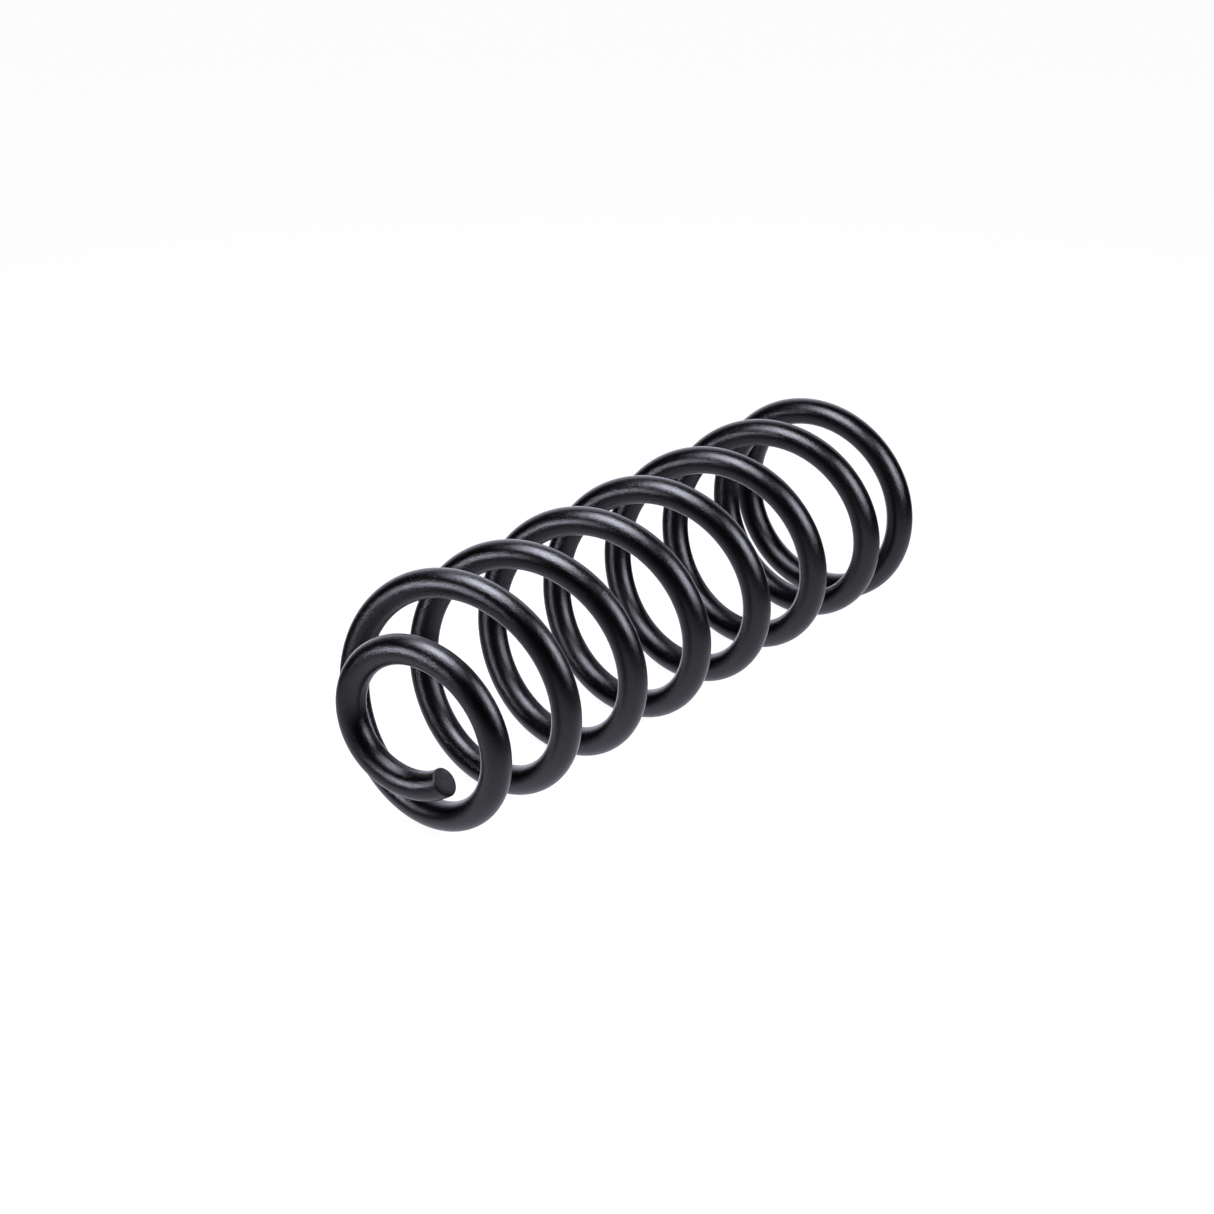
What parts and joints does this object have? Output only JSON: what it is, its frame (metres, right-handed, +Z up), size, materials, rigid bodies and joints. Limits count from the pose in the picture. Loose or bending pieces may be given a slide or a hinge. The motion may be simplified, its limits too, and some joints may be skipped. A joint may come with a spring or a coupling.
{
  "type": "coil spring",
  "caption": "Helical compression spring for a car's suspension, wound from one black coated steel bar, with a small pigtail at one end and a plain end coil at the other.",
  "frame": {"origin": "middle of the spring's box, on the surface that it lies on", "axes": "+X along the coil's axis from the pigtail to the end coil, +Z up with the spring lying on its side"},
  "size_m": [0.3554, 0.111, 0.1109],
  "materials": {
    "coated_bar": "semi-gloss black powder coat over shot-peened spring steel"
  },
  "bodies": {
    "pigtail_end": {"pigtail_tip": "coated_bar", "pigtail_left": "coated_bar"},
    "pigtail_top": {"pigtail_top": "coated_bar"},
    "pigtail_right": {"pigtail_right": "coated_bar"},
    "opening_turn_bottom": {"opening_turn_bottom": "coated_bar"},
    "opening_turn_left": {"opening_turn_left": "coated_bar"},
    "opening_turn_top": {"opening_turn_top": "coated_bar"},
    "opening_turn_right": {"opening_turn_right": "coated_bar"},
    "active_turn_1_bottom": {"active_turn_1_bottom": "coated_bar"},
    "active_turn_1_left": {"active_turn_1_left": "coated_bar"},
    "active_turn_1_top": {"active_turn_1_top": "coated_bar"},
    "active_turn_1_right": {"active_turn_1_right": "coated_bar"},
    "active_turn_2_bottom": {"active_turn_2_bottom": "coated_bar"},
    "active_turn_2_left": {"active_turn_2_left": "coated_bar"},
    "active_turn_2_top": {"active_turn_2_top": "coated_bar"},
    "active_turn_2_right": {"active_turn_2_right": "coated_bar"},
    "active_turn_3_bottom": {"active_turn_3_bottom": "coated_bar"},
    "active_turn_3_left": {"active_turn_3_left": "coated_bar"},
    "active_turn_3_top": {"active_turn_3_top": "coated_bar"},
    "active_turn_3_right": {"active_turn_3_right": "coated_bar"},
    "active_turn_4_bottom": {"active_turn_4_bottom": "coated_bar"},
    "active_turn_4_left": {"active_turn_4_left": "coated_bar"},
    "active_turn_4_top": {"active_turn_4_top": "coated_bar"},
    "active_turn_4_right": {"active_turn_4_right": "coated_bar"},
    "active_turn_5_bottom": {"active_turn_5_bottom": "coated_bar"},
    "active_turn_5_left": {"active_turn_5_left": "coated_bar"},
    "active_turn_5_top": {"active_turn_5_top": "coated_bar"},
    "active_turn_5_right": {"active_turn_5_right": "coated_bar"},
    "end_turn_bottom": {"end_turn_bottom": "coated_bar"},
    "end_coil": {"end_turn_left": "coated_bar", "end_turn_top": "coated_bar", "end_turn_right": "coated_bar", "end_coil_seat": "coated_bar", "end_coil_tip": "coated_bar"}
  },
  "joints": [
    {"name": "pigtail_top_twist", "type": "hinge", "parent": "pigtail_end", "child": "pigtail_top", "pos_m": [-0.17083, 0.01805, 0.07893], "axis": [-0.0389, 0.7137, -0.6994], "range_deg": [0, 0.538], "stiffness_Nm_per_rad": 4440},
    {"name": "pigtail_right_twist", "type": "hinge", "parent": "pigtail_top", "child": "pigtail_right", "pos_m": [-0.16673, -0.03152, 0.07816], "axis": [-0.1014, 0.7147, 0.6921], "range_deg": [0, 2.43], "stiffness_Nm_per_rad": 3620},
    {"name": "opening_turn_bottom_twist", "type": "hinge", "parent": "pigtail_right", "child": "opening_turn_bottom", "pos_m": [-0.15871, -0.02896, 0.01767], "axis": [-0.1303, -0.7444, 0.6549], "range_deg": [0, 5.13], "stiffness_Nm_per_rad": 3080},
    {"name": "opening_turn_left_twist", "type": "hinge", "parent": "opening_turn_bottom", "child": "opening_turn_left", "pos_m": [-0.14847, 0.03862, 0.02433], "axis": [-0.1349, -0.6201, -0.7728], "range_deg": [0, 7.28], "stiffness_Nm_per_rad": 2860},
    {"name": "opening_turn_top_twist", "type": "hinge", "parent": "opening_turn_left", "child": "opening_turn_top", "pos_m": [-0.13789, 0.03001, 0.09451], "axis": [-0.1351, 0.7834, -0.6067], "range_deg": [0, 8.18], "stiffness_Nm_per_rad": 2810},
    {"name": "opening_turn_right_twist", "type": "hinge", "parent": "opening_turn_top", "child": "opening_turn_right", "pos_m": [-0.12699, -0.03987, 0.08456], "axis": [-0.143, 0.5835, 0.7994], "range_deg": [0, 7.96], "stiffness_Nm_per_rad": 2850},
    {"name": "active_turn_1_bottom_twist", "type": "hinge", "parent": "opening_turn_right", "child": "active_turn_1_bottom", "pos_m": [-0.11563, -0.02986, 0.01649], "axis": [-0.1537, -0.7879, 0.5964], "range_deg": [0, 7.07], "stiffness_Nm_per_rad": 2920},
    {"name": "active_turn_1_left_twist", "type": "hinge", "parent": "active_turn_1_bottom", "child": "active_turn_1_left", "pos_m": [-0.10379, 0.03742, 0.02526], "axis": [-0.1593, -0.6062, -0.7792], "range_deg": [0, 7], "stiffness_Nm_per_rad": 2920},
    {"name": "active_turn_1_top_twist", "type": "hinge", "parent": "active_turn_1_left", "child": "active_turn_1_top", "pos_m": [-0.09154, 0.02878, 0.09291], "axis": [-0.1623, 0.7828, -0.6007], "range_deg": [0, 7.49], "stiffness_Nm_per_rad": 2900},
    {"name": "active_turn_1_right_twist", "type": "hinge", "parent": "active_turn_1_top", "child": "active_turn_1_right", "pos_m": [-0.07906, -0.0391, 0.08397], "axis": [-0.1636, 0.6006, 0.7827], "range_deg": [0, 7.59], "stiffness_Nm_per_rad": 2900},
    {"name": "active_turn_2_bottom_twist", "type": "hinge", "parent": "active_turn_1_right", "child": "active_turn_2_bottom", "pos_m": [-0.06656, -0.03017, 0.01609], "axis": [-0.1636, -0.7827, 0.6006], "range_deg": [0, 7.33], "stiffness_Nm_per_rad": 2900},
    {"name": "active_turn_2_left_twist", "type": "hinge", "parent": "active_turn_2_bottom", "child": "active_turn_2_left", "pos_m": [-0.05406, 0.03771, 0.02503], "axis": [-0.1636, -0.6006, -0.7827], "range_deg": [0, 7.23], "stiffness_Nm_per_rad": 2900},
    {"name": "active_turn_2_top_twist", "type": "hinge", "parent": "active_turn_2_left", "child": "active_turn_2_top", "pos_m": [-0.04156, 0.02878, 0.09291], "axis": [-0.1636, 0.7827, -0.6006], "range_deg": [0, 7.38], "stiffness_Nm_per_rad": 2900},
    {"name": "active_turn_2_right_twist", "type": "hinge", "parent": "active_turn_2_top", "child": "active_turn_2_right", "pos_m": [-0.02906, -0.0391, 0.08397], "axis": [-0.1636, 0.6006, 0.7827], "range_deg": [0, 7.47], "stiffness_Nm_per_rad": 2900},
    {"name": "active_turn_3_bottom_twist", "type": "hinge", "parent": "active_turn_2_right", "child": "active_turn_3_bottom", "pos_m": [-0.01656, -0.03017, 0.01609], "axis": [-0.1636, -0.7827, 0.6006], "range_deg": [0, 7.45], "stiffness_Nm_per_rad": 2900},
    {"name": "active_turn_3_left_twist", "type": "hinge", "parent": "active_turn_3_bottom", "child": "active_turn_3_left", "pos_m": [-0.00406, 0.03771, 0.02503], "axis": [-0.1636, -0.6006, -0.7827], "range_deg": [0, 7.36], "stiffness_Nm_per_rad": 2900},
    {"name": "active_turn_3_top_twist", "type": "hinge", "parent": "active_turn_3_left", "child": "active_turn_3_top", "pos_m": [0.00844, 0.02878, 0.09291], "axis": [-0.1636, 0.7827, -0.6006], "range_deg": [0, 7.26], "stiffness_Nm_per_rad": 2900},
    {"name": "active_turn_3_right_twist", "type": "hinge", "parent": "active_turn_3_top", "child": "active_turn_3_right", "pos_m": [0.02094, -0.0391, 0.08397], "axis": [-0.1636, 0.6006, 0.7827], "range_deg": [0, 7.34], "stiffness_Nm_per_rad": 2900},
    {"name": "active_turn_4_bottom_twist", "type": "hinge", "parent": "active_turn_3_right", "child": "active_turn_4_bottom", "pos_m": [0.03344, -0.03017, 0.01609], "axis": [-0.1636, -0.7827, 0.6006], "range_deg": [0, 7.56], "stiffness_Nm_per_rad": 2900},
    {"name": "active_turn_4_left_twist", "type": "hinge", "parent": "active_turn_4_bottom", "child": "active_turn_4_left", "pos_m": [0.04594, 0.03771, 0.02503], "axis": [-0.1636, -0.6006, -0.7827], "range_deg": [0, 7.49], "stiffness_Nm_per_rad": 2900},
    {"name": "active_turn_4_top_twist", "type": "hinge", "parent": "active_turn_4_left", "child": "active_turn_4_top", "pos_m": [0.05844, 0.02878, 0.09291], "axis": [-0.1636, 0.7827, -0.6006], "range_deg": [0, 7.16], "stiffness_Nm_per_rad": 2900},
    {"name": "active_turn_4_right_twist", "type": "hinge", "parent": "active_turn_4_top", "child": "active_turn_4_right", "pos_m": [0.07094, -0.0391, 0.08397], "axis": [-0.1636, 0.6006, 0.7827], "range_deg": [0, 7.2], "stiffness_Nm_per_rad": 2900},
    {"name": "active_turn_5_bottom_twist", "type": "hinge", "parent": "active_turn_4_right", "child": "active_turn_5_bottom", "pos_m": [0.08344, -0.03017, 0.01609], "axis": [-0.1636, -0.7827, 0.6006], "range_deg": [0, 7.66], "stiffness_Nm_per_rad": 2900},
    {"name": "active_turn_5_left_twist", "type": "hinge", "parent": "active_turn_5_bottom", "child": "active_turn_5_left", "pos_m": [0.09594, 0.03771, 0.02503], "axis": [-0.1636, -0.6006, -0.7827], "range_deg": [0, 7.63], "stiffness_Nm_per_rad": 2900},
    {"name": "active_turn_5_top_twist", "type": "hinge", "parent": "active_turn_5_left", "child": "active_turn_5_top", "pos_m": [0.10844, 0.02878, 0.09291], "axis": [-0.1636, 0.7827, -0.6006], "range_deg": [0, 6.61], "stiffness_Nm_per_rad": 2900},
    {"name": "active_turn_5_right_twist", "type": "hinge", "parent": "active_turn_5_top", "child": "active_turn_5_right", "pos_m": [0.12094, -0.0391, 0.08397], "axis": [-0.1636, 0.6006, 0.7827], "range_deg": [0, 4.45], "stiffness_Nm_per_rad": 2900},
    {"name": "end_turn_bottom_twist", "type": "hinge", "parent": "active_turn_5_right", "child": "end_turn_bottom", "pos_m": [0.13344, -0.03017, 0.01609], "axis": [-0.1636, -0.7827, 0.6006], "range_deg": [0, 2.42], "stiffness_Nm_per_rad": 2900},
    {"name": "end_coil_twist", "type": "hinge", "parent": "end_turn_bottom", "child": "end_coil", "pos_m": [0.14458, 0.03771, 0.02503], "axis": [-0.1173, -0.6046, -0.7879], "range_deg": [0, 0.596], "stiffness_Nm_per_rad": 2920}
  ],
  "couplings": [
    {"joint": "pigtail_top_twist", "follows": "end_turn_bottom_twist", "ratio": 0.222},
    {"joint": "pigtail_right_twist", "follows": "end_turn_bottom_twist", "ratio": 1.003},
    {"joint": "opening_turn_bottom_twist", "follows": "end_turn_bottom_twist", "ratio": 2.12},
    {"joint": "opening_turn_left_twist", "follows": "end_turn_bottom_twist", "ratio": 3.009},
    {"joint": "opening_turn_top_twist", "follows": "end_turn_bottom_twist", "ratio": 3.378},
    {"joint": "opening_turn_right_twist", "follows": "end_turn_bottom_twist", "ratio": 3.289},
    {"joint": "active_turn_1_bottom_twist", "follows": "end_turn_bottom_twist", "ratio": 2.923},
    {"joint": "active_turn_1_left_twist", "follows": "end_turn_bottom_twist", "ratio": 2.892},
    {"joint": "active_turn_1_top_twist", "follows": "end_turn_bottom_twist", "ratio": 3.095},
    {"joint": "active_turn_1_right_twist", "follows": "end_turn_bottom_twist", "ratio": 3.138},
    {"joint": "active_turn_2_bottom_twist", "follows": "end_turn_bottom_twist", "ratio": 3.028},
    {"joint": "active_turn_2_left_twist", "follows": "end_turn_bottom_twist", "ratio": 2.988},
    {"joint": "active_turn_2_top_twist", "follows": "end_turn_bottom_twist", "ratio": 3.049},
    {"joint": "active_turn_2_right_twist", "follows": "end_turn_bottom_twist", "ratio": 3.086},
    {"joint": "active_turn_3_bottom_twist", "follows": "end_turn_bottom_twist", "ratio": 3.077},
    {"joint": "active_turn_3_left_twist", "follows": "end_turn_bottom_twist", "ratio": 3.04},
    {"joint": "active_turn_3_top_twist", "follows": "end_turn_bottom_twist", "ratio": 3},
    {"joint": "active_turn_3_right_twist", "follows": "end_turn_bottom_twist", "ratio": 3.031},
    {"joint": "active_turn_4_bottom_twist", "follows": "end_turn_bottom_twist", "ratio": 3.123},
    {"joint": "active_turn_4_left_twist", "follows": "end_turn_bottom_twist", "ratio": 3.095},
    {"joint": "active_turn_4_top_twist", "follows": "end_turn_bottom_twist", "ratio": 2.957},
    {"joint": "active_turn_4_right_twist", "follows": "end_turn_bottom_twist", "ratio": 2.975},
    {"joint": "active_turn_5_bottom_twist", "follows": "end_turn_bottom_twist", "ratio": 3.163},
    {"joint": "active_turn_5_left_twist", "follows": "end_turn_bottom_twist", "ratio": 3.154},
    {"joint": "active_turn_5_top_twist", "follows": "end_turn_bottom_twist", "ratio": 2.732},
    {"joint": "active_turn_5_right_twist", "follows": "end_turn_bottom_twist", "ratio": 1.837},
    {"joint": "end_coil_twist", "follows": "end_turn_bottom_twist", "ratio": 0.246}
  ]
}
